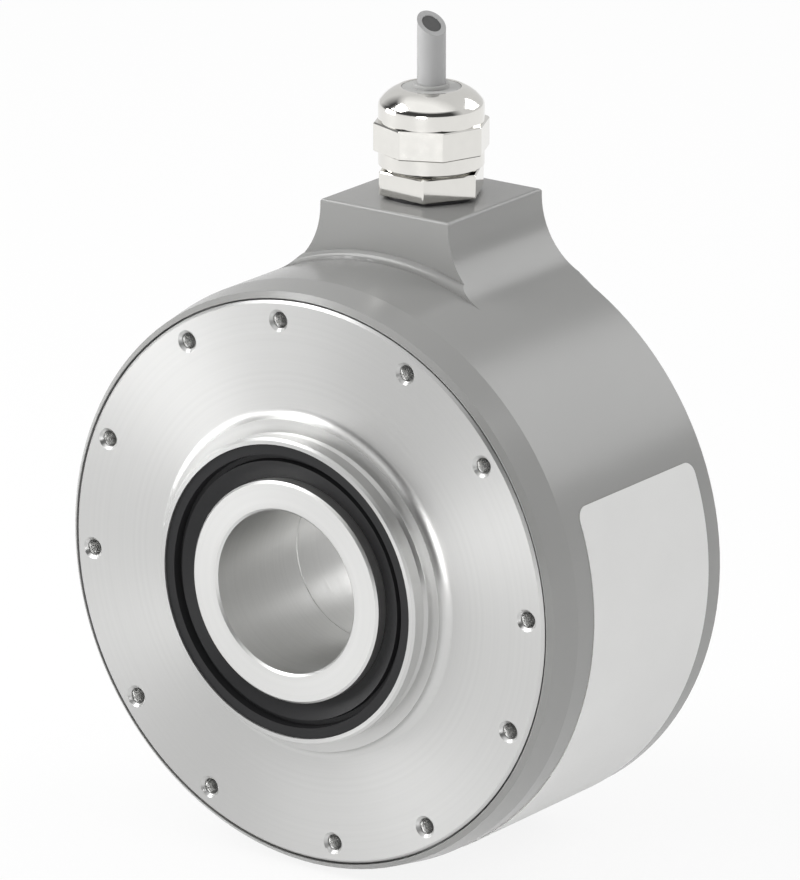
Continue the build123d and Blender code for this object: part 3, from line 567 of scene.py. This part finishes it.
class ENCODER_OT_cable(bpy.types.Operator):
    """Finishes the short end of cable that stands in the gland"""

    bl_idname = "encoder.cable"
    bl_label = "Cable"

    def execute(self, context):
        jacket, shader = new_finish("cable_jacket", JACKET_GREY, metallic=0.0, roughness=0.5)
        streaks = speckle(jacket, 700.0, detail=3.0, stretch=(1, 1, 0.05))
        link(jacket, tint(jacket, streaks, JACKET_GREY, amount=0.06), shader.inputs["Base Color"])
        bumps(jacket, shader, streaks, strength=0.2, height=0.00002)
        dress(jacket, "cable_jacket")
        dress(moulded("cable_core", (0.09, 0.09, 0.09), roughness=0.7, grain=1500.0), "cable_core")
        dress(moulded("wire_skin", (0.45, 0.25, 0.15), roughness=0.5, grain=900.0), "cable_wires")
        return {"FINISHED"}


class ENCODER_OT_inner_parts(bpy.types.Operator):
    """Finishes the bearings, the disc, the reading head and the board inside"""

    bl_idname = "encoder.inner_parts"
    bl_label = "Inner Parts"

    def execute(self, context):
        ends = ("front", "rear")
        dress(worn_metal("ground_steel", (0.6, 0.6, 0.61), roughness=0.15, grain=1200.0, relief=0.000003),
              *(f"{end}_bearing_{part}" for end in ends for part in ("outer_ring", "inner_ring", "balls")))
        dress(worn_metal("cage_brass", (0.62, 0.45, 0.2), roughness=0.3, grain=900.0),
              *(f"{end}_bearing_cage" for end in ends))
        dress(worn_metal("spring_steel", (0.4, 0.4, 0.41), roughness=0.3, grain=900.0), "bearing_outer_spacer",
              "bearing_inner_spacer", "preload_spring", "bearing_retaining_ring", "shaft_retaining_ring", "disc_screws")
        dress(worn_metal("milled_aluminium", (0.75, 0.75, 0.74), roughness=0.35, grain=800.0),
              "disc_hub", "disc_clamp_plate", "flange_posts")
        dress(glassy("disc_glass", (0.85, 0.9, 0.9), roughness=0.03), "code_disc", "reticle", "led_lamp")
        dress(moulded("black_plastic", (0.025, 0.025, 0.028), roughness=0.45, grain=1200.0),
              "lamp_bracket", "detector_carrier", "interface_chip", "board_spacers")
        dress(moulded("white_plastic", (0.7, 0.69, 0.64), roughness=0.4, grain=1200.0), "cable_connector")
        dress(moulded("chip_ceramic", (0.1, 0.08, 0.08), roughness=0.25, grain=1500.0), "detector_chip")
        dress(moulded("board_laminate", (0.02, 0.16, 0.06), roughness=0.3, grain=1500.0, relief=0.00003, cloudy=0.15),
              "sensor_board")
        return {"FINISHED"}


class ENCODER_OT_stage(bpy.types.Operator):
    """Sets the floor, the lights and the camera"""

    bl_idname = "encoder.stage"
    bl_label = "Stage"

    def execute(self, context):
        scene, look = context.scene, context.scene.encoder_stage
        scene.view_settings.view_transform = "Standard"
        lay_floor(scene)
        light_room(scene, look)
        hang_lamps(scene, look)
        set_camera(scene, look.lens)
        return {"FINISHED"}


STEPS = (ENCODER_OT_housing, ENCODER_OT_flange, ENCODER_OT_shaft, ENCODER_OT_seals, ENCODER_OT_gland,
         ENCODER_OT_cable, ENCODER_OT_inner_parts, ENCODER_OT_stage)

SETTINGS = {
    "encoder_housing": HousingSettings,
    "encoder_metal": MetalSettings,
    "encoder_thread": ThreadSettings,
    "encoder_seals": SealSettings,
    "encoder_stage": StageSettings,
}


class ENCODER_PT_panel(bpy.types.Panel):
    """Lists the settings and the steps"""

    bl_idname = "ENCODER_PT_panel"
    bl_label = "Rotary Encoder"
    bl_space_type = "VIEW_3D"
    bl_region_type = "UI"
    bl_category = "Encoder"

    def draw(self, context):
        for group in SETTINGS:
            box = self.layout.box()
            settings = getattr(context.scene, group)
            for name in settings.__annotations__:
                box.prop(settings, name)
        for step in STEPS:
            self.layout.operator(step.bl_idname)


def register():
    """Makes the settings, the steps and the panel known to Blender."""
    for cls in (*SETTINGS.values(), *STEPS, ENCODER_PT_panel):
        bpy.utils.register_class(cls)
    for name, cls in SETTINGS.items():
        setattr(bpy.types.Scene, name, PointerProperty(type=cls))


def unregister():
    """Takes them out again."""
    for name in SETTINGS:
        delattr(bpy.types.Scene, name)
    for cls in reversed((*SETTINGS.values(), *STEPS, ENCODER_PT_panel)):
        bpy.utils.unregister_class(cls)


def main():
    """Takes every step in order."""
    register()
    for step in STEPS:
        group, name = step.bl_idname.split(".")
        getattr(getattr(bpy.ops, group), name)()


if __name__ == "__main__":
    main()
